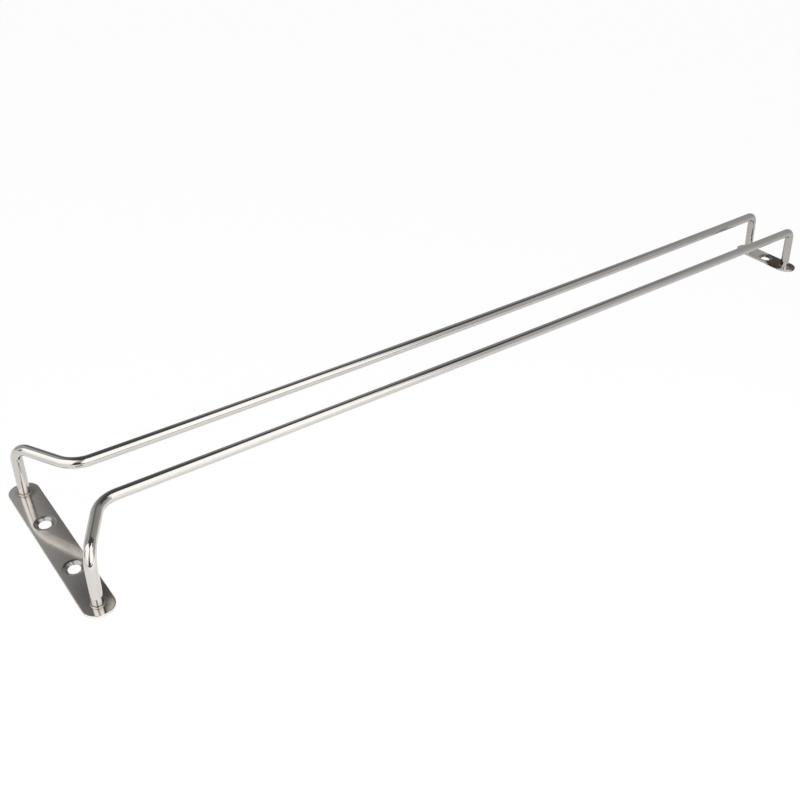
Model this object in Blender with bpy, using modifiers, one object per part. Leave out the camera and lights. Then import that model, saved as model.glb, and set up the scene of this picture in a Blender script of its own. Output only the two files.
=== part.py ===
# Hanging wine glass rack: one channel of bent plated wire on two screw plates.
# It stands upside down here, on the faces of its plates that go up against the shelf.
# Metres, +Z up. +X runs from the entry to the far end, and +Y to the back wire.
# The origin is under the middle of the rack, on the mounting faces of the plates.
import math

import bmesh
import bpy
from mathutils import Vector

# Wires, with every length taken to the middle of the wire
wire_diameter = 0.0060
leg_span = 0.5840  # entry feet to far feet
rail_height = 0.0310  # from the faces of the plates up to the rails
entry_leg_spacing = 0.0960  # the mouth, where the two wires stand widest apart
throat_spacing = 0.0320  # where the funnel of the mouth runs into the rails
far_spacing = 0.0346  # the rails spread slightly towards the far end
far_leg_rake = 0.0060  # how far the far legs lean in towards the entry at the top
funnel_length = 0.0186  # measured along the rack
entry_bend_radius = 0.0125  # leg to funnel
throat_bend_radius = 0.0156  # funnel to rail
far_bend_radius = 0.0066  # rail to far leg
back_rail_bow = 0.0030  # both rails are sprung a little towards the front
front_rail_bow = 0.0016
wire_bevel_resolution = 8  # twenty sides round the wire
bend_steps = 10
rail_steps = 12

# Screw plates, both cut from one strip
strip_width = 0.0160
strip_thickness = 0.0015
strip_edge_round = 0.0003
end_roundness_share = 0.94  # corner radius as a share of half the strip's width
plate_overhang = 0.0082  # past the middle of a leg
corner_steps = 8

# Countersunk screw holes
entry_hole_spacing = 0.0386
screw_hole_diameter = 0.0067
countersink_diameter = 0.0108
countersink_depth_share = 0.85  # of the strip's thickness
hole_steps = 32
cut_overrun = 0.0010

# Welds round the feet of the legs
weld_size = 0.0008  # up the wire, and out over the plate
weld_hollow_share = 0.36  # how far the middle of the weld's face is drawn in
weld_steps = 28

# Clearance between pieces that meet
seat_gap = 0.0003
merge_distance = 0.00001

wire_radius = wire_diameter / 2
rail_level = strip_thickness + rail_height
foot_level = strip_thickness + seat_gap
entry_x = -leg_span / 2
far_x = leg_span / 2
throat_x = entry_x + funnel_length
far_corner_x = far_x - far_leg_rake
rail_length = far_corner_x - throat_x


def clear_scene():
    for old in list(bpy.data.objects):
        bpy.data.objects.remove(old, do_unlink=True)


def new_collection(name):
    collection = bpy.data.collections.new(name)
    bpy.context.scene.collection.children.link(collection)
    return collection


def plated_metal(name, colour, roughness):
    material = bpy.data.materials.new(name)
    material.use_nodes = True
    shader = material.node_tree.nodes["Principled BSDF"]
    shader.inputs["Base Color"].default_value = (*colour, 1)
    shader.inputs["Metallic"].default_value = 1
    shader.inputs["Roughness"].default_value = roughness
    return material


clear_scene()
rack_parts = new_collection("wine_glass_rack")
cutters = new_collection("cutters")
rack = bpy.data.objects.new("rack", None)
rack_parts.objects.link(rack)
wire_metal = plated_metal("plated_wire", (0.80, 0.79, 0.77), 0.12)
strip_metal = plated_metal("plated_strip", (0.62, 0.59, 0.57), 0.20)
weld_metal = plated_metal("plated_weld", (0.70, 0.68, 0.66), 0.30)


def add_piece(name, data, location, material):
    piece = bpy.data.objects.new(name, data)
    rack_parts.objects.link(piece)
    piece.parent = rack
    piece.location = location
    data.materials.append(material)
    return piece


def bend(before, corner, after, radius):
    # Points along the arc that rounds a corner between two straight runs
    to_before = (before - corner).normalized()
    to_after = (after - corner).normalized()
    half_angle = to_before.angle(to_after) / 2
    centre = corner + (to_before + to_after).normalized() * radius / math.sin(half_angle)
    start = corner + to_before * radius / math.tan(half_angle) - centre
    across = to_after.cross(to_before).normalized().cross(start)
    turn = math.pi - 2 * half_angle
    points = []
    for step in range(bend_steps + 1):
        angle = turn * step / bend_steps
        points.append(centre + start * math.cos(angle) + across * math.sin(angle))
    return points


def wire_route(side, bow):
    # side is 1 for the back wire and -1 for the front one
    entry_y = side * entry_leg_spacing / 2
    far_y = side * far_spacing / 2
    entry_foot = Vector((entry_x, entry_y, foot_level))
    entry_corner = Vector((entry_x, entry_y, rail_level))
    throat = Vector((throat_x, side * throat_spacing / 2, rail_level))
    far_corner = Vector((far_corner_x, far_y, rail_level))
    # A far leg stands straight inside its weld, so that its foot lies flat, and leans from there
    far_ankle = Vector((far_x, far_y, foot_level + weld_size))
    far_foot = Vector((far_x, far_y, foot_level))

    entry_bend = bend(entry_foot, entry_corner, throat, entry_bend_radius)
    throat_bend = bend(entry_corner, throat, far_corner, throat_bend_radius)
    far_bend = bend(throat, far_corner, far_ankle, far_bend_radius)
    rail = []
    for step in range(1, rail_steps):
        rail.append(throat_bend[-1].lerp(far_bend[0], step / rail_steps))

    points = [entry_foot, *entry_bend, *throat_bend, *rail, *far_bend, far_ankle, far_foot]
    for point in points:
        along = min(max((point.x - throat_x) / rail_length, 0), 1)
        point.y -= bow * 4 * along * (1 - along)
    return points


def bent_wire(name, side, bow):
    wire = bpy.data.curves.new(name, "CURVE")
    wire.dimensions = "3D"
    wire.bevel_depth = wire_radius
    wire.bevel_resolution = wire_bevel_resolution
    wire.use_fill_caps = True
    points = wire_route(side, bow)
    spline = wire.splines.new("POLY")
    spline.points.add(len(points) - 1)
    for target, point in zip(spline.points, points):
        target.co = (*point, 1)
    return add_piece(name, wire, (0, 0, 0), wire_metal)


def strip_outline(length):
    # A length of strip with rounded corners, counter-clockwise from its +X +Y corner
    radius = end_roundness_share * strip_width / 2
    centre_x = strip_width / 2 - radius
    centre_y = length / 2 - radius
    points = []
    for corner, (sign_x, sign_y) in enumerate(((1, 1), (-1, 1), (-1, -1), (1, -1))):
        for step in range(corner_steps + 1):
            angle = math.pi / 2 * (corner + step / corner_steps)
            x = sign_x * centre_x + radius * math.cos(angle)
            y = sign_y * centre_y + radius * math.sin(angle)
            points.append((x, y))
    return points


def strip_blank(name, length):
    # The flat outline grows by its edge rounding, so it is first drawn in by as much
    outline = bpy.data.curves.new(name, "CURVE")
    outline.dimensions = "2D"
    outline.fill_mode = "BOTH"
    outline.extrude = strip_thickness / 2 - strip_edge_round
    outline.offset = -strip_edge_round
    outline.bevel_depth = strip_edge_round
    outline.bevel_resolution = 2
    points = strip_outline(length)
    spline = outline.splines.new("POLY")
    spline.points.add(len(points) - 1)
    for target, (x, y) in zip(spline.points, points):
        target.co = (x, y, 0, 1)
    spline.use_cyclic_u = True

    drawn = bpy.data.objects.new(name, outline)
    rack_parts.objects.link(drawn)
    depsgraph = bpy.context.evaluated_depsgraph_get()
    blank = bpy.data.meshes.new_from_object(drawn.evaluated_get(depsgraph))
    bpy.data.objects.remove(drawn, do_unlink=True)

    bm = bmesh.new()
    bm.from_mesh(blank)
    bmesh.ops.remove_doubles(bm, verts=bm.verts, dist=merge_distance)
    bmesh.ops.translate(bm, verts=bm.verts, vec=(0, 0, strip_thickness / 2))
    bmesh.ops.recalc_face_normals(bm, faces=bm.faces)
    bm.to_mesh(blank)
    bm.free()
    blank.name = name
    return blank


def turned_profile(name, profile, closed):
    # An open or closed line of (radius, height) points, ready for a Screw modifier
    mesh = bpy.data.meshes.new(name)
    bm = bmesh.new()
    verts = [bm.verts.new((radius, 0, height)) for radius, height in profile]
    for first, second in zip(verts, verts[1:]):
        bm.edges.new((first, second))
    if closed:
        bm.edges.new((verts[-1], verts[0]))
    bm.to_mesh(mesh)
    bm.free()
    return mesh


def turn(piece, steps):
    screw = piece.modifiers.new("Turn", "SCREW")
    screw.axis = "Z"
    screw.angle = math.tau
    screw.steps = steps
    screw.render_steps = steps
    screw.use_merge_vertices = True
    screw.merge_threshold = merge_distance
    screw.use_smooth_shade = True


def screw_hole_cutter(name, plate, location):
    # A straight hole that opens into a cone at the face where the screw head sits
    hole_radius = screw_hole_diameter / 2
    sink_radius = countersink_diameter / 2
    sink_depth = countersink_depth_share * strip_thickness
    widening = (sink_radius - hole_radius) / sink_depth
    top = strip_thickness + cut_overrun
    profile = (
        (0, top),
        (sink_radius + widening * cut_overrun, top),
        (hole_radius, strip_thickness - sink_depth),
        (hole_radius, -cut_overrun),
        (0, -cut_overrun),
    )
    cutter = bpy.data.objects.new(name, turned_profile(name, profile, False))
    cutters.objects.link(cutter)
    cutter.parent = plate
    cutter.location = location
    cutter.hide_render = True
    cutter.display_type = "WIRE"
    turn(cutter, hole_steps)
    return cutter


def screw_plate(name, x, leg_spacing, hole_places):
    length = leg_spacing + 2 * plate_overhang
    plate = add_piece(name, strip_blank(name, length), (x, 0, 0), strip_metal)
    for number, y in enumerate(hole_places, 1):
        cut = plate.modifiers.new(f"Screw hole {number}", "BOOLEAN")
        cut.operation = "DIFFERENCE"
        cut.solver = "EXACT"
        cut.object = screw_hole_cutter(f"{name}_hole_{number}", plate, (0, y, 0))
    return plate


def weld(name, x, y):
    # A ring in the corner between wire and plate, with a hollow face
    inner = wire_radius + seat_gap
    drawn_in = weld_size * (1 - weld_hollow_share) / 2
    profile = (
        (inner, weld_size),
        (inner + drawn_in, drawn_in),
        (inner + weld_size, 0),
        (inner, 0),
    )
    ring = add_piece(name, turned_profile(name, profile, True), (x, y, foot_level), weld_metal)
    turn(ring, weld_steps)
    return ring


bent_wire("back_rail_wire", 1, back_rail_bow)
bent_wire("front_rail_wire", -1, front_rail_bow)

half_hole_spacing = entry_hole_spacing / 2
screw_plate("entry_plate", entry_x, entry_leg_spacing, (half_hole_spacing, -half_hole_spacing))
screw_plate("far_plate", far_x, far_spacing, (0,))

for side_name, side in (("back", 1), ("front", -1)):
    weld(f"entry_{side_name}_weld", entry_x, side * entry_leg_spacing / 2)
    weld(f"far_{side_name}_weld", far_x, side * far_spacing / 2)
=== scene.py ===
import math

import bmesh
import bpy
from mathutils import Matrix, Vector, noise


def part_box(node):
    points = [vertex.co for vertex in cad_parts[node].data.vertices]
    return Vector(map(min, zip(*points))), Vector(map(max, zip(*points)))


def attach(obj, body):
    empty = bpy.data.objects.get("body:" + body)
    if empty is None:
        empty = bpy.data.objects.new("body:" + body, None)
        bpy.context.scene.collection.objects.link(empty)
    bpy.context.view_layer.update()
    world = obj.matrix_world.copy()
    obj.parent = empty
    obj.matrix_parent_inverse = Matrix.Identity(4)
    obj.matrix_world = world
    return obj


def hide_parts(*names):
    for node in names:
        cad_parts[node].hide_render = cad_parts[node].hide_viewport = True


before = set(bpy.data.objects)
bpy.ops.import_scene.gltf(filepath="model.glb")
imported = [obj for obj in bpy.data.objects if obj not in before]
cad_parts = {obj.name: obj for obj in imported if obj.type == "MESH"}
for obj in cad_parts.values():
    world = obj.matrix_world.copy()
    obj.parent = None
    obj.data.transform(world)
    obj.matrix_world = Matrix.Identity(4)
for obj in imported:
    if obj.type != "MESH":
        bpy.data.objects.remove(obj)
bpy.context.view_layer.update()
print("frame loaded:", ", ".join(sorted(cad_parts)))

scene = bpy.context.scene
scene.view_settings.view_transform = "Standard"


# Node helpers. A tree is the node tree of a material or of the world.

def newMaterial(name):
    material = bpy.data.materials.new(name)
    material.use_nodes = True
    tree = material.node_tree
    tree.nodes.clear()
    output = tree.nodes.new("ShaderNodeOutputMaterial")
    return material, tree, output


def metalShader(tree, output):
    shader = tree.nodes.new("ShaderNodeBsdfPrincipled")
    shader.inputs["Metallic"].default_value = 1.0
    tree.links.new(shader.outputs["BSDF"], output.inputs["Surface"])
    return shader


def attribute(tree, name, output):
    node = tree.nodes.new("ShaderNodeAttribute")
    node.attribute_name = name
    return node.outputs[output]


def stretched(tree, vector, scale):
    node = tree.nodes.new("ShaderNodeMapping")
    node.inputs["Scale"].default_value = scale
    tree.links.new(vector, node.inputs["Vector"])
    return node.outputs["Vector"]


def noiseField(tree, vector, pattern):
    # a pattern is scale, detail and roughness
    node = tree.nodes.new("ShaderNodeTexNoise")
    for socket, value in zip(("Scale", "Detail", "Roughness"), pattern):
        node.inputs[socket].default_value = value
    tree.links.new(vector, node.inputs["Vector"])
    return node.outputs["Fac"]


def remap(tree, value, fromRange, toRange=(0, 1)):
    node = tree.nodes.new("ShaderNodeMapRange")
    node.inputs["From Min"].default_value, node.inputs["From Max"].default_value = fromRange
    node.inputs["To Min"].default_value, node.inputs["To Max"].default_value = toRange
    tree.links.new(value, node.inputs["Value"])
    return node.outputs["Result"]


def combine(tree, operation, first, second):
    node = tree.nodes.new("ShaderNodeMath")
    node.operation = operation
    for socket, value in zip(node.inputs, (first, second)):
        if isinstance(value, (int, float)):
            socket.default_value = value
        else:
            tree.links.new(value, socket)
    return node.outputs["Value"]


def distanceTo(tree, vector, place):
    node = tree.nodes.new("ShaderNodeVectorMath")
    node.operation = "DISTANCE"
    tree.links.new(vector, node.inputs[0])
    node.inputs[1].default_value = place
    return node.outputs["Value"]


def mixColour(tree, factor, first, second):
    node = tree.nodes.new("ShaderNodeMix")
    node.data_type = "RGBA"
    tree.links.new(factor, node.inputs["Factor"])
    for socket, colour in ((node.inputs["A"], first), (node.inputs["B"], second)):
        if isinstance(colour, tuple):
            socket.default_value = (*colour, 1)
        else:
            tree.links.new(colour, socket)
    return node.outputs["Result"]


def bumpNormal(tree, height, distance, normal=None):
    node = tree.nodes.new("ShaderNodeBump")
    node.inputs["Strength"].default_value = 1
    node.inputs["Distance"].default_value = distance
    tree.links.new(height, node.inputs["Height"])
    if normal is not None:
        tree.links.new(normal, node.inputs["Normal"])
    return node.outputs["Normal"]


# Mesh helpers

def ringVerts(bm, points):
    return [bm.verts.new(point) for point in points]


def skin(bm, loops):
    # smooth quads between closed loops of equal length
    for lower, upper in zip(loops, loops[1:]):
        for k in range(len(lower)):
            following = (k + 1) % len(lower)
            bm.faces.new((lower[k], lower[following], upper[following], upper[k])).smooth = True


def finishMesh(bm, name):
    mesh = bpy.data.meshes.new(name)
    bm.to_mesh(mesh)
    bm.free()
    return mesh


# What both plated finishes share. Each range is the part of a noise that a change is spread over.

wear = {
    "tintRange": (0.35, 0.7),
    "roughRange": (0.3, 0.75),
    "speckRange": (0.66, 0.8),
    "stainRange": (0.3, 0.7),
}


def wornRoughness(tree, finish, clouds, specks, stain):
    rough = remap(tree, clouds, wear["roughRange"], finish["roughness"])
    specked = remap(tree, specks, wear["speckRange"], (0, finish["speckRoughness"]))
    rough = combine(tree, "ADD", rough, specked)
    return combine(tree, "ADD", rough, combine(tree, "MULTIPLY", stain, finish["stainRoughness"]))


# Bright plating on drawn wire

wireFinish = {
    "bright": (0.61, 0.59, 0.565),
    "warm": (0.575, 0.55, 0.52),
    "soot": (0.30, 0.27, 0.24),  # tarnish next to a weld
    "sootAmount": (0.4, 1),
    "roughness": (0.06, 0.10),
    "speckRoughness": 0.12,
    "stainRoughness": 0.18,
    # scale, detail and roughness of each noise
    "lines": (2600, 3, 0.5),
    "ripple": (170, 1, 0.5),
    "clouds": (38, 4, 0.6),
    "specks": (2200, 2, 0.7),
    "lineStretch": (1, 1, 0.012),
    "rippleStretch": (1, 1, 0.25),
    "lineHeight": 0.000004,  # drawing lines left under the plating
    "rippleHeight": 0.000009,
}


def platedWire(finish):
    material, tree, output = newMaterial("plated wire")
    shader = metalShader(tree, output)
    place = attribute(tree, "wirePlace", "Vector")  # across, across and along, as if the wire were straight
    lines = noiseField(tree, stretched(tree, place, finish["lineStretch"]), finish["lines"])
    ripple = noiseField(tree, stretched(tree, place, finish["rippleStretch"]), finish["ripple"])
    clouds = noiseField(tree, place, finish["clouds"])
    specks = noiseField(tree, place, finish["specks"])

    cloudy = remap(tree, clouds, wear["tintRange"])
    tint = mixColour(tree, cloudy, finish["bright"], finish["warm"])
    patchy = remap(tree, clouds, wear["stainRange"], finish["sootAmount"])
    stain = combine(tree, "MULTIPLY", attribute(tree, "weldHeat", "Fac"), patchy)
    tint = mixColour(tree, stain, tint, finish["soot"])
    tree.links.new(tint, shader.inputs["Base Color"])

    rough = wornRoughness(tree, finish, clouds, specks, stain)
    tree.links.new(rough, shader.inputs["Roughness"])
    normal = bumpNormal(tree, lines, finish["lineHeight"])
    normal = bumpNormal(tree, ripple, finish["rippleHeight"], normal)
    tree.links.new(normal, shader.inputs["Normal"])
    return material


# The same plating on rolled strip, duller, and burnt brown beside the welds

stripFinish = {
    "bright": (0.81, 0.775, 0.74),
    "warm": (0.74, 0.70, 0.66),
    "burnt": (0.075, 0.052, 0.038),
    "burntAmount": (0.6, 1.2),  # a burn is mottled between these shares of its depth
    "cut": (0.34, 0.32, 0.30),  # darker, duller metal on the countersink walls
    "roughness": (0.10, 0.135),
    "speckRoughness": 0.1,
    "stainRoughness": 0.15,
    "cutRoughness": 0.08,
    # scale, detail and roughness of each noise
    "grain": (2400, 3, 0.5),
    "wave": (55, 1, 0.5),
    "clouds": (45, 4, 0.6),
    "specks": (2000, 2, 0.7),
    "blotches": (260, 4, 0.65),
    "grainStretch": (1, 0.02, 1),
    "waveStretch": (1, 0.4, 0.2),
    "grainHeight": 0.0000015,
    "waveHeight": 0.000004,
    "crown": 2.1,  # how far the strip is rounded across its width, as height over width squared
}


def burntAmount(tree, place, finish, burns, plate):
    # burns lie in the plate's own frame, on its top, and leave a patch clear where the plating held
    burnt = None
    for burn in burns:
        clear = plate["clearPatches"][burn["clear"]]
        inside = distanceTo(tree, place, (*burn["middle"], plate["topHeight"]))
        outside = distanceTo(tree, place, (*clear["middle"], plate["topHeight"]))
        patch = combine(tree, "MULTIPLY", remap(tree, inside, burn["fade"], (1, 0)),
                        remap(tree, outside, clear["fade"]))
        patch = combine(tree, "MULTIPLY", patch, burn["depth"])
        burnt = patch if burnt is None else combine(tree, "MAXIMUM", burnt, patch)
    blotches = noiseField(tree, place, finish["blotches"])
    mottle = remap(tree, blotches, wear["stainRange"], finish["burntAmount"])
    return combine(tree, "MINIMUM", combine(tree, "MULTIPLY", burnt, mottle), 1)


def faceNormal(tree, place, finish, lean):
    # the strip's face is crowned and leans a little, which bends what it mirrors
    apart = tree.nodes.new("ShaderNodeSeparateXYZ")
    tree.links.new(place, apart.inputs["Vector"])
    across = apart.outputs["X"]
    crowned = combine(tree, "MULTIPLY", combine(tree, "MULTIPLY", across, across), -finish["crown"])
    leaning = combine(tree, "MULTIPLY", across, lean)
    return bumpNormal(tree, combine(tree, "ADD", crowned, leaning), 1)


def platedStrip(name, finish, burns, lean, plate):
    material, tree, output = newMaterial(name)
    shader = metalShader(tree, output)
    place = tree.nodes.new("ShaderNodeTexCoord").outputs["Object"]
    grain = noiseField(tree, stretched(tree, place, finish["grainStretch"]), finish["grain"])
    wave = noiseField(tree, stretched(tree, place, finish["waveStretch"]), finish["wave"])
    clouds = noiseField(tree, place, finish["clouds"])
    specks = noiseField(tree, place, finish["specks"])
    burnt = burntAmount(tree, place, finish, burns, plate)
    tooled = attribute(tree, "tooled", "Fac")

    cloudy = remap(tree, clouds, wear["tintRange"])
    tint = mixColour(tree, cloudy, finish["bright"], finish["warm"])
    tint = mixColour(tree, burnt, tint, finish["burnt"])
    tint = mixColour(tree, tooled, tint, finish["cut"])
    tree.links.new(tint, shader.inputs["Base Color"])

    rough = wornRoughness(tree, finish, clouds, specks, burnt)
    rough = combine(tree, "ADD", rough, combine(tree, "MULTIPLY", tooled, finish["cutRoughness"]))
    tree.links.new(rough, shader.inputs["Roughness"])
    normal = faceNormal(tree, place, finish, lean)
    normal = bumpNormal(tree, grain, finish["grainHeight"], normal)
    normal = bumpNormal(tree, wave, finish["waveHeight"], normal)
    tree.links.new(normal, shader.inputs["Normal"])
    return material


# Plated weld metal, dull where the weld was rough

weldFinish = {
    "bright": (0.55, 0.52, 0.49),
    "dulled": (0.38, 0.345, 0.31),
    "roughness": (0.24, 0.40),
    "lumps": (900, 3, 0.6),  # scale, detail and roughness of the noise
    "patches": (420, 3, 0.6),
    "tintRange": (0.45, 0.72),
    "roughRange": (0.35, 0.75),
    "pitHeight": 0.00002,
}


def platedWeld(finish):
    material, tree, output = newMaterial("plated weld")
    shader = metalShader(tree, output)
    place = tree.nodes.new("ShaderNodeTexCoord").outputs["Object"]
    lumps = noiseField(tree, place, finish["lumps"])
    patches = noiseField(tree, place, finish["patches"])
    tint = mixColour(tree, remap(tree, patches, finish["tintRange"]), finish["bright"], finish["dulled"])
    tree.links.new(tint, shader.inputs["Base Color"])
    rough = remap(tree, patches, finish["roughRange"], finish["roughness"])
    tree.links.new(rough, shader.inputs["Roughness"])
    tree.links.new(bumpNormal(tree, lumps, finish["pitHeight"]), shader.inputs["Normal"])
    return material


def addPiece(name, mesh, material, node):
    mesh.materials.clear()
    mesh.materials.append(material)
    piece = bpy.data.objects.new(name, mesh)
    scene.collection.objects.link(piece)
    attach(piece, "root")
    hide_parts(node)
    return piece


def boxCentre(node):
    low, high = (Vector(corner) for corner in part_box(node))
    return (low + high) / 2


# Rail wires: leg, funnel, rail and far leg in one piece

railWire = {
    "diameter": 0.0060,
    "throatSpacing": 0.0320,
    "funnelLength": 0.0186,
    "entryBendRadius": 0.0090,  # the photo shows it a little tighter than the solid
    "throatBendRadius": 0.0156,
    "farBendRadius": 0.0066,
    "farLegRake": 0.0060,  # the far legs lean in towards the entry at the top
    "backBow": 0.0030,  # both rails are sprung a little towards the front
    "frontBow": 0.0016,
    "sides": 48,
    "ringStep": 0.0016,  # between rings on straight runs
    "bendSteps": 36,
    "heatReach": 0.006,  # how far up a leg its weld has coloured the plating
}


def bend(before, corner, after, radius, steps):
    # points along the arc that rounds a corner between two straight runs
    toBefore = (before - corner).normalized()
    toAfter = (after - corner).normalized()
    halfAngle = toBefore.angle(toAfter) / 2
    centre = corner + (toBefore + toAfter).normalized() * radius / math.sin(halfAngle)
    start = corner + toBefore * radius / math.tan(halfAngle) - centre
    across = toAfter.cross(toBefore).normalized().cross(start)
    turn = math.pi - 2 * halfAngle
    return [centre + start * math.cos(turn * k / steps) + across * math.sin(turn * k / steps)
            for k in range(steps + 1)]


def straight(start, end, spacing):
    # points between two ends, without the ends
    count = max(1, round((end - start).length / spacing))
    return [start.lerp(end, k / count) for k in range(1, count)]


def wireRoute(side, bow, wire):
    # side is 1 for the back wire and -1 for the front one
    sideName = "back" if side > 0 else "front"
    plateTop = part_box("entry_plate")[1][2]
    wireHigh = Vector(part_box(f"{sideName}_rail_wire")[1])
    entry = boxCentre(f"entry_{sideName}_weld")
    far = boxCentre(f"far_{sideName}_weld")
    railZ = wireHigh.z - wire["diameter"] / 2
    throatX = entry.x + wire["funnelLength"]
    entryFoot = Vector((entry.x, entry.y, plateTop))  # the real leg is welded down onto its plate
    entryCorner = Vector((entry.x, entry.y, railZ))
    throat = Vector((throatX, side * wire["throatSpacing"] / 2, railZ))
    farCorner = Vector((far.x - wire["farLegRake"], far.y, railZ))
    farAnkle = Vector((far.x, far.y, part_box(f"far_{sideName}_weld")[1][2]))
    farFoot = Vector((far.x, far.y, plateTop))

    steps, spacing = wire["bendSteps"], wire["ringStep"]
    entryBend = bend(entryFoot, entryCorner, throat, wire["entryBendRadius"], steps)
    throatBend = bend(entryCorner, throat, farCorner, wire["throatBendRadius"], steps)
    farBend = bend(throat, farCorner, farAnkle, wire["farBendRadius"], steps)
    points = [entryFoot, *straight(entryFoot, entryBend[0], spacing), *entryBend]
    points += straight(entryBend[-1], throatBend[0], spacing) + throatBend
    points += straight(throatBend[-1], farBend[0], spacing) + farBend
    points += [*straight(farBend[-1], farAnkle, spacing), farAnkle, farFoot]
    for point in points:
        along = min(max((point.x - throatX) / (farCorner.x - throatX), 0), 1)
        point.y -= bow * 4 * along * (1 - along)
    return points


def wireMesh(name, points, wire):
    radius, sides = wire["diameter"] / 2, wire["sides"]
    last = len(points) - 1
    tangents = [(points[min(k + 1, last)] - points[max(k - 1, 0)]).normalized() for k in range(last + 1)]
    lengths = [0.0]
    for before, point in zip(points, points[1:]):
        lengths.append(lengths[-1] + (point - before).length)

    bm = bmesh.new()
    places, heats, rings = [], [], []
    across = tangents[0].orthogonal().normalized()
    for k, (point, tangent) in enumerate(zip(points, tangents)):
        if k:
            across = tangents[k - 1].rotation_difference(tangent) @ across
            across = (across - tangent * across.dot(tangent)).normalized()
        upward = tangent.cross(across)
        fromFoot = min(lengths[k], lengths[-1] - lengths[k])
        heat = max(0.0, 1 - fromFoot / wire["heatReach"]) ** 2
        ring = []
        for s in range(sides):
            angle = math.tau * s / sides
            x, y = radius * math.cos(angle), radius * math.sin(angle)
            ring.append(bm.verts.new(point + across * x + upward * y))
            places.append((x, y, lengths[k]))
            heats.append(heat)
        rings.append(ring)
    skin(bm, rings)
    bm.faces.new(list(reversed(rings[0])))
    bm.faces.new(rings[-1])

    mesh = finishMesh(bm, name)
    wirePlace = mesh.attributes.new("wirePlace", "FLOAT_VECTOR", "POINT")
    wirePlace.data.foreach_set("vector", [part for place in places for part in place])
    weldHeat = mesh.attributes.new("weldHeat", "FLOAT", "POINT")
    weldHeat.data.foreach_set("value", heats)
    return mesh


wireMetal = platedWire(wireFinish)
for name, side, bow in (("back", 1, railWire["backBow"]), ("front", -1, railWire["frontBow"])):
    mesh = wireMesh(f"{name} rail wire", wireRoute(side, bow, railWire), railWire)
    addPiece(f"{name}RailWire", mesh, wireMetal, f"{name}_rail_wire")
print("rail wires bent")


# Screw plates: strip with round ends, rolled edges and countersunk holes

plate = {
    "topHeight": 0.0015,  # of the strip's upper face, where the burns lie
    "endRoundnessShare": 0.94,
    "holeDiameter": 0.0063,  # the photo shows it a little tighter than the solid
    "sinkDiameter": 0.0100,
    "sinkDepthShare": 0.85,
    "entryHoleSpacing": 0.0386,
    "edgeRound": 0.0003,
    "boreRound": 0.00010,
    "sinkRound": 0.00075,
    "roundSteps": 5,
    "land": 0.0002,  # narrow flat ring beside each rounding
    "brightRings": (2, 3),  # rings below and above a countersink that keep the strip's own colour
    "cornerSteps": 24,
    "holeSteps": 96,
    "entryLean": 0.015,  # how far the face rises towards the rails, as height over width
    "farLean": 0,
    # patches beside the welds where the plating held
    "clearPatches": {
        "back foot": {"middle": (-0.0012, 0.0430), "fade": (0.0020, 0.0040)},
        "front foot": {"middle": (-0.0015, -0.0525), "fade": (0.0020, 0.0040)},
        "front foot, wider": {"middle": (-0.0015, -0.0525), "fade": (0.0030, 0.0060)},
        "far foot": {"middle": (-0.0040, -0.0195), "fade": (0.0018, 0.0034)},
    },
    # a burn is full out to the first distance in its fade, and gone at the second
    "entryBurns": (
        {"middle": (0.0010, 0.0480), "fade": (0.0034, 0.0062), "depth": 0.55, "clear": "back foot"},
        {"middle": (0.0010, -0.0480), "fade": (0.0034, 0.0060), "depth": 0.40, "clear": "front foot"},
        {"middle": (0.0075, -0.0435), "fade": (0.0025, 0.0110), "depth": 0.75, "clear": "front foot, wider"},
        {"middle": (-0.0010, -0.0430), "fade": (0.0060, 0.0160), "depth": 0.30, "clear": "front foot, wider"},
    ),
    "farBurns": (
        {"middle": (0, 0), "fade": (0.0300, 0.0400), "depth": 0.16, "clear": "far foot"},
        {"middle": (0.0010, -0.0120), "fade": (0.0090, 0.0115), "depth": 1.40, "clear": "far foot"},
        {"middle": (0.0085, -0.0030), "fade": (0.0042, 0.0066), "depth": 1.40, "clear": "far foot"},
        {"middle": (0.0045, -0.0215), "fade": (0.0055, 0.0095), "depth": 1.00, "clear": "far foot"},
    ),
}


def stripOutline(width, length, radius, steps):
    centreX, centreY = width / 2 - radius, length / 2 - radius
    points = []
    for corner, (signX, signY) in enumerate(((1, 1), (-1, 1), (-1, -1), (1, -1))):
        for k in range(steps + 1):
            angle = math.pi / 2 * (corner + k / steps)
            x = signX * centreX + radius * math.cos(angle)
            y = signY * centreY + radius * math.sin(angle)
            points.append((x, y))
    return points


def softened(profile, reaches, steps):
    # the same line of points with each inner corner rounded off over its own reach
    line = [Vector(profile[0])]
    for before, corner, after, reach in zip(profile, profile[1:], profile[2:], reaches):
        corner = Vector(corner)
        start = corner + (Vector(before) - corner).normalized() * reach
        end = corner + (Vector(after) - corner).normalized() * reach
        for k in range(steps + 1):
            t = k / steps
            line.append(start * (1 - t) ** 2 + corner * 2 * t * (1 - t) + end * t ** 2)
    return line + [Vector(profile[-1])]


def flatFace(bm, loops):
    # one flat face inside the first loop, open inside the others
    edges = []
    for loop in loops:
        for first, second in zip(loop, loop[1:] + loop[:1]):
            edges.append(bm.edges.get((first, second)))
    filled = bmesh.ops.triangle_fill(bm, use_beauty=True, edges=edges, normal=(0, 0, 1))
    for item in filled["geom"]:
        if isinstance(item, bmesh.types.BMFace):
            item.smooth = False


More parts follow.
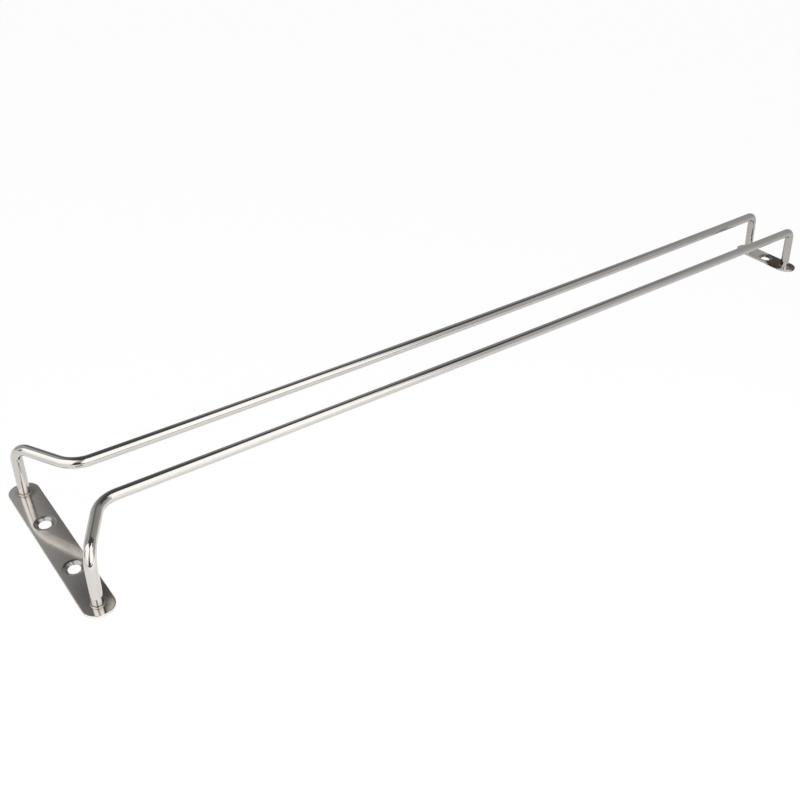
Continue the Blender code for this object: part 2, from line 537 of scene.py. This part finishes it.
def screwPlate(name, node, holes, material, plate):
    low, high = (Vector(corner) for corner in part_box(node))
    size, centre = high - low, (low + high) / 2
    radius = plate["endRoundnessShare"] * size.x / 2
    bm = bmesh.new()

    inner = plate["edgeRound"] + plate["land"]
    section = [(inner, 0), (0, 0), (0, size.z), (inner, size.z)]
    edge = softened(section, [plate["edgeRound"]] * 2, plate["roundSteps"])
    rim = []
    for inset, z in edge:
        outline = stripOutline(size.x - 2 * inset, size.y - 2 * inset, radius - inset, plate["cornerSteps"])
        rim.append(ringVerts(bm, [(x, y, z) for x, y in outline]))
    skin(bm, rim)
    bottoms, tops = [rim[0]], [rim[-1]]

    bore, sink = plate["holeDiameter"] / 2, plate["sinkDiameter"] / 2
    neck = size.z * (1 - plate["sinkDepthShare"])
    beneath = bore + plate["boreRound"] + plate["land"]
    around = sink + plate["sinkRound"] + plate["land"]
    cone = [(beneath, 0), (bore, 0), (bore, neck), (sink, size.z), (around, size.z)]
    rounds = (plate["boreRound"], plate["boreRound"], plate["sinkRound"])
    turns = [math.tau * k / plate["holeSteps"] for k in range(plate["holeSteps"])]
    brightBelow, brightAbove = plate["brightRings"]
    tooled = set()
    for y in holes:
        wall = []
        for reach, z in softened(cone, rounds, plate["roundSteps"]):
            wall.append(ringVerts(bm, [(reach * math.cos(a), y + reach * math.sin(a), z) for a in turns]))
        skin(bm, wall)
        bottoms.append(wall[0])
        tops.append(wall[-1])
        for ring in wall[brightBelow:-brightAbove]:
            tooled.update(ring)
    flatFace(bm, bottoms)
    flatFace(bm, tops)
    bmesh.ops.recalc_face_normals(bm, faces=bm.faces)
    marks = [1.0 if vert in tooled else 0.0 for vert in bm.verts]

    mesh = finishMesh(bm, name)
    mesh.attributes.new("tooled", "FLOAT", "POINT").data.foreach_set("value", marks)
    piece = addPiece(name, mesh, material, node)
    piece.location = (centre.x, centre.y, low.z)


halfSpacing = plate["entryHoleSpacing"] / 2
entryMetal = platedStrip("plated strip", stripFinish, plate["entryBurns"], plate["entryLean"], plate)
farMetal = platedStrip("burnt strip", stripFinish, plate["farBurns"], plate["farLean"], plate)
screwPlate("entryPlate", "entry_plate", (halfSpacing, -halfSpacing), entryMetal, plate)
screwPlate("farPlate", "far_plate", (0,), farMetal, plate)
print("plates cut")


# Welds: a lumpy fillet round the foot of each leg

weld = {
    "spreadShare": 0.50,  # of the solid's size; the real welds barely show
    "hollowShare": 0.75,
    "faceSteps": 8,
    "steps": 72,
    "lumpHeight": 0.00006,
    "lumpScale": 520,
    "lumpMiddleShare": 0.75,  # the lumps are highest here, as width share plus height share
    "lumpReachShare": 0.5,
}


def weldFillet(name, node, wire, weld, seed):
    low, high = (Vector(corner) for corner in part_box(node))
    low.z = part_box("entry_plate")[1][2]
    centre = (low + high) / 2
    inner = wire["diameter"] / 2
    width = ((high.x - low.x) / 2 - inner) * weld["spreadShare"]
    height = (high.z - low.z) * weld["spreadShare"]
    bm = bmesh.new()
    rings = []
    for k in range(weld["steps"]):
        angle = math.tau * k / weld["steps"]
        direction = Vector((math.cos(angle), math.sin(angle), 0))
        profile = [(0, 0)]
        for s in range(weld["faceSteps"] + 1):
            t = s / weld["faceSteps"]
            sag = weld["hollowShare"] * t * (1 - t)
            profile.append((width * (1 - t - sag), height * (t - sag)))
        ring = []
        for out, up in profile:
            point = direction * (inner + out) + Vector((0, 0, up))
            lump = noise.noise((point + Vector((seed, 0, 0))) * weld["lumpScale"])
            offMiddle = abs(out / width + up / height - weld["lumpMiddleShare"])
            fade = max(0.0, 1 - offMiddle / weld["lumpReachShare"]) if out or up else 0
            point += direction * lump * weld["lumpHeight"] * fade
            ring.append(bm.verts.new(point))
        rings.append(ring)
    for ring, following in zip(rings, rings[1:] + rings[:1]):
        for s in range(len(ring)):
            t = (s + 1) % len(ring)
            bm.faces.new((ring[s], following[s], following[t], ring[t])).smooth = True
    bmesh.ops.recalc_face_normals(bm, faces=bm.faces)
    piece = addPiece(name, finishMesh(bm, name), weldMetal, node)
    piece.location = (centre.x, centre.y, low.z)


weldMetal = platedWeld(weldFinish)
for seed, node in enumerate(("entry_back", "entry_front", "far_back", "far_front")):
    end, side = node.split("_")
    weldFillet(f"{end}{side.capitalize()}Weld", f"{node}_weld", railWire, weld, seed)
print("welds laid")


# Studio: a pale floor, a white surround and two soft lamps that light the floor. Round the rack stand
# white boxes, grey paper and a dark room, and on the floor a dark stand's foot, which only the plating
# sees. Azimuths turn from +X towards +Y.

studio = {
    "floorColour": (0.95, 0.95, 0.95),
    "floorRadius": 12.0,
    "floorSides": 96,
    "glowToCamera": 0.965,
    "glowToPlating": 0.35,
    "surround": 0.35,  # as light on the floor; seen directly it is white
    "tentRadius": 1.3,
    "tentStep": 2,  # degrees
    "room": 0.085,
    "footPlace": (-0.45, -0.48, 0.001),
    "footRadius": 0.30,
    "footSides": 48,
    "footColour": (0.08, 0.08, 0.08),
    # azimuths, elevations, softness across and up (all in degrees), brightness
    "cards": {
        "paper sweep": (-60, 62, -20, 38, 14, 22, 0.46),
        "paper across the far end": (-62, -2, -20, 47, 16, 14, 0.46),
        "paper by the front box": (-62, -30, -20, 46, 20, 12, 0.60),
        "low wall": (60, 110, -20, 50, 12, 16, 0.16),
        "tall paper": (24, 78, -20, 52, 16, 12, 0.36),
        "screen's thin edge": (94, 110, -20, 43, 8, 8, 0.34),
        "screen": (103, 152, -20, 55, 8, 10, 0.48),
        "left box": (149, 217, 14, 65, 8, 8, 1.66),
        "left box foot": (149, 217, -20, 14, 8, 8, 1.35),
        "gap by the left box": (155, 166, -5, 21, 6, 8, 0.10),
        "front box": (-126, -57, 8, 77, 7, 5, 1.66),
        "front box foot": (-126, -60, -20, 8, 7, 8, 1.40),
        "front box corner": (-62, -42, 40, 63, 8, 8, 1.60),
        "front box end": (-62, -16, 61, 76, 8, 5, 1.60),
        "grey cloth": (-142, -122, 28, 64, 8, 8, 0.50),
        "dark stand": (-141, -122, -20, 31, 6, 10, 0.05),
        "gap under the front box": (-144, -113, -20, 12, 8, 8, 0.05),
    },
    # spread in degrees
    "lamps": {
        "frontLamp": {"location": (-0.22, -0.50, 0.34), "target": (-0.20, -0.28, 0),
                      "size": (0.5, 0.3), "power": 2.1, "spread": 110},
        "leftLamp": {"location": (-0.8, 0.35, 0.6), "target": (-0.3, 0, 0),
                     "size": (0.5, 0.5), "power": 1.4, "spread": 120},
    },
}


def makeWorld(studio):
    world = bpy.data.worlds.new("white surround")
    scene.world = world
    world.use_nodes = True
    tree = world.node_tree
    path = tree.nodes.new("ShaderNodeLightPath")
    seen = combine(tree, "MAXIMUM", path.outputs["Is Camera Ray"], path.outputs["Is Glossy Ray"])
    seen = combine(tree, "MAXIMUM", seen, path.outputs["Is Transmission Ray"])
    background = tree.nodes["Background"]
    background.inputs["Color"].default_value = (1, 1, 1, 1)
    strength = remap(tree, seen, (0, 1), (studio["surround"], 1))
    tree.links.new(strength, background.inputs["Strength"])


def discMesh(name, radius, sides, material):
    bm = bmesh.new()
    bmesh.ops.create_circle(bm, cap_ends=True, segments=sides, radius=radius)
    mesh = finishMesh(bm, name)
    mesh.materials.append(material)
    return mesh


def makeFloor(studio):
    material, tree, output = newMaterial("pale floor")
    paint = tree.nodes.new("ShaderNodeBsdfDiffuse")
    paint.inputs["Color"].default_value = (*studio["floorColour"], 1)
    glow = tree.nodes.new("ShaderNodeEmission")
    path = tree.nodes.new("ShaderNodeLightPath")
    toCamera = combine(tree, "MULTIPLY", path.outputs["Is Camera Ray"], studio["glowToCamera"])
    reflected = combine(tree, "MAXIMUM", path.outputs["Is Glossy Ray"], path.outputs["Is Transmission Ray"])
    toPlating = combine(tree, "MULTIPLY", reflected, studio["glowToPlating"])
    mix = tree.nodes.new("ShaderNodeMixShader")
    tree.links.new(combine(tree, "MAXIMUM", toCamera, toPlating), mix.inputs["Fac"])
    tree.links.new(paint.outputs["BSDF"], mix.inputs[1])
    tree.links.new(glow.outputs["Emission"], mix.inputs[2])
    tree.links.new(mix.outputs["Shader"], output.inputs["Surface"])
    mesh = discMesh("floor", studio["floorRadius"], studio["floorSides"], material)
    floor = bpy.data.objects.new("floor", mesh)
    scene.collection.objects.link(floor)


def ease(value, low, high):
    t = min(max((value - low) / (high - low), 0), 1)
    return t * t * (3 - 2 * t)


def within(value, low, high, softness):
    rise = ease(value, low - softness / 2, low + softness / 2)
    return rise * (1 - ease(value, high - softness / 2, high + softness / 2))


def tentShade(azimuth, elevation, studio):
    # each card covers those before it
    shade = studio["room"]
    for left, right, bottom, top, across, up, brightness in studio["cards"].values():
        middle = (left + right) / 2
        turned = middle + (azimuth - middle + 180) % 360 - 180
        cover = within(turned, left, right, across) * within(elevation, bottom, top, up)
        shade += (brightness - shade) * cover
    return shade


def hideFromAllButPlating(thing):
    thing.visible_camera = False
    thing.visible_diffuse = False
    thing.visible_shadow = False
    thing.visible_transmission = False


def makeTent(studio):
    material, tree, output = newMaterial("tent")
    glow = tree.nodes.new("ShaderNodeEmission")
    tree.links.new(attribute(tree, "shade", "Fac"), glow.inputs["Strength"])
    tree.links.new(glow.outputs["Emission"], output.inputs["Surface"])
    bm = bmesh.new()
    rows, shades = [], []
    step = studio["tentStep"]
    for elevation in range(-step, 90, step):
        row = []
        for azimuth in range(-180, 180, step):
            az, el = math.radians(azimuth), math.radians(elevation)
            direction = Vector((math.cos(az) * math.cos(el), math.sin(az) * math.cos(el), math.sin(el)))
            row.append(bm.verts.new(direction * studio["tentRadius"]))
            shades.append(tentShade(azimuth, elevation, studio))
        rows.append(row)
    skin(bm, rows)
    bm.faces.new(rows[-1])
    mesh = finishMesh(bm, "tent")
    mesh.attributes.new("shade", "FLOAT", "POINT").data.foreach_set("value", shades)
    mesh.materials.append(material)
    tent = bpy.data.objects.new("tent", mesh)
    scene.collection.objects.link(tent)
    hideFromAllButPlating(tent)


def makeStandFoot(studio):
    material, tree, output = newMaterial("stand foot")
    paint = tree.nodes.new("ShaderNodeBsdfDiffuse")
    paint.inputs["Color"].default_value = (*studio["footColour"], 1)
    tree.links.new(paint.outputs["BSDF"], output.inputs["Surface"])
    mesh = discMesh("stand foot", studio["footRadius"], studio["footSides"], material)
    foot = bpy.data.objects.new("standFoot", mesh)
    foot.location = studio["footPlace"]
    scene.collection.objects.link(foot)
    hideFromAllButPlating(foot)


def makeLamp(name, settings):
    data = bpy.data.lights.new(name, "AREA")
    data.shape = "RECTANGLE"
    data.size, data.size_y = settings["size"]
    data.energy = settings["power"]
    data.spread = math.radians(settings["spread"])
    lamp = bpy.data.objects.new(name, data)
    lamp.location = settings["location"]
    aim = Vector(settings["target"]) - Vector(settings["location"])
    lamp.rotation_euler = aim.to_track_quat("-Z", "Y").to_euler()
    lamp.visible_camera = False
    lamp.visible_glossy = False
    scene.collection.objects.link(lamp)


makeWorld(studio)
makeFloor(studio)
makeTent(studio)
makeStandFoot(studio)
for name, settings in studio["lamps"].items():
    makeLamp(name, settings)


# Camera, where the photo's camera stood

viewpoint = {
    "location": (-0.38047, -0.37552, 0.34286),
    "yaw": 51.248,  # degrees, as are the next two
    "pitch": 34.981,
    "roll": 2.789,
    "focalPixels": 966.4,
    "imagePixels": 800,
    "sensorMillimetres": 36,
    "clip": (0.01, 50),
}


def makeCamera(viewpoint):
    yaw, pitch, roll = (math.radians(viewpoint[angle]) for angle in ("yaw", "pitch", "roll"))
    forward = Vector((math.cos(yaw) * math.cos(pitch), math.sin(yaw) * math.cos(pitch), -math.sin(pitch)))
    level = Vector((math.sin(yaw), -math.cos(yaw), 0))
    upright = level.cross(forward)
    right = level * math.cos(roll) + upright * math.sin(roll)
    up = upright * math.cos(roll) - level * math.sin(roll)
    data = bpy.data.cameras.new("camera")
    data.sensor_width = viewpoint["sensorMillimetres"]
    data.lens = viewpoint["focalPixels"] / viewpoint["imagePixels"] * data.sensor_width
    data.clip_start, data.clip_end = viewpoint["clip"]
    camera = bpy.data.objects.new("camera", data)
    turned = Matrix((right, up, -forward)).transposed().to_4x4()
    camera.matrix_world = Matrix.Translation(viewpoint["location"]) @ turned
    scene.collection.objects.link(camera)
    scene.camera = camera


makeCamera(viewpoint)
print("studio set")
